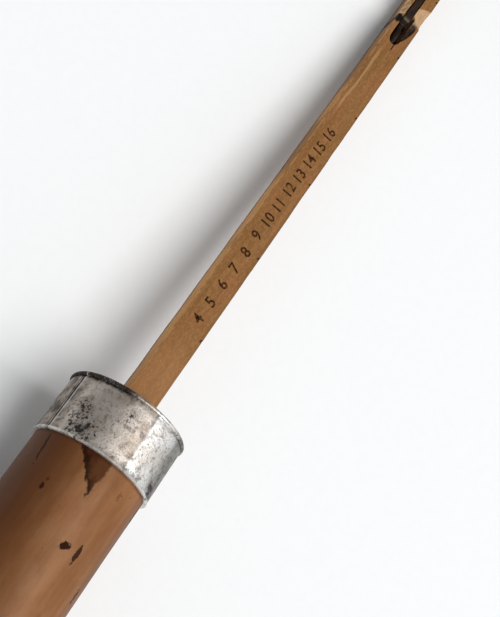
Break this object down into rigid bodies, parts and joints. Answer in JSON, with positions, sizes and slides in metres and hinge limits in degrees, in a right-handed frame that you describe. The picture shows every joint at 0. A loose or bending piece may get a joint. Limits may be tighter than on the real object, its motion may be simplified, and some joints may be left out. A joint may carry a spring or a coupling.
{
  "type": "measuring walking cane",
  "caption": "Hollow rattan crook cane with a silver collar; a square boxwood rule draws out of its mouth and a slim metal levelling arm folds out of the rule.",
  "frame": {"origin": "centre of the flat end of the steel tip, on the axis of the cane", "axes": "+X along the cane from its foot to the handle, +Z out of the rule's slotted face, +Y towards the crook's nose"},
  "size_m": [1.2959, 0.1101, 0.0282],
  "materials": {
    "rattan": "polished, worn and stained",
    "silver": "tarnished, scratched",
    "boxwood": "old varnish, dark grain",
    "plug_wood": "plain",
    "brass": "dull",
    "nickel": "worn",
    "dark_metal": "dark patina",
    "steel": "worn",
    "level_glass": "clear",
    "spirit": "clear yellow-green"
  },
  "bodies": {
    "cane": {"shaft": "rattan", "collar": "silver", "mouth_bush": "brass", "shaft_plug": "plug_wood", "ferrule": "nickel", "ferrule_tip": "steel", "ferrule_pins": "nickel"},
    "rule": {"rule": "boxwood", "rule_shoe": "brass", "friction_spring": "steel", "spring_rivet": "brass", "head_block": "dark_metal", "head_rivets": "brass", "hinge_pin": "steel", "hinge_washers": "brass", "handle_sleeve": "silver", "handle": "rattan", "handle_tang": "steel", "handle_pin": "silver"},
    "arm": {"arm": "dark_metal", "level_vial": "level_glass", "level_spirit": "spirit", "level_cover": "brass", "level_screws": "brass"}
  },
  "joints": [
    {"name": "rule_slide", "type": "slide", "parent": "cane", "child": "rule", "axis": [1, 0, 0], "range_m": [-0.3616, 0.352]},
    {"name": "arm_fold", "type": "hinge", "parent": "rule", "child": "arm", "pos_m": [1.1929, 0, 0.00105], "axis": [0, 1, 0], "range_deg": [0, 90]}
  ]
}
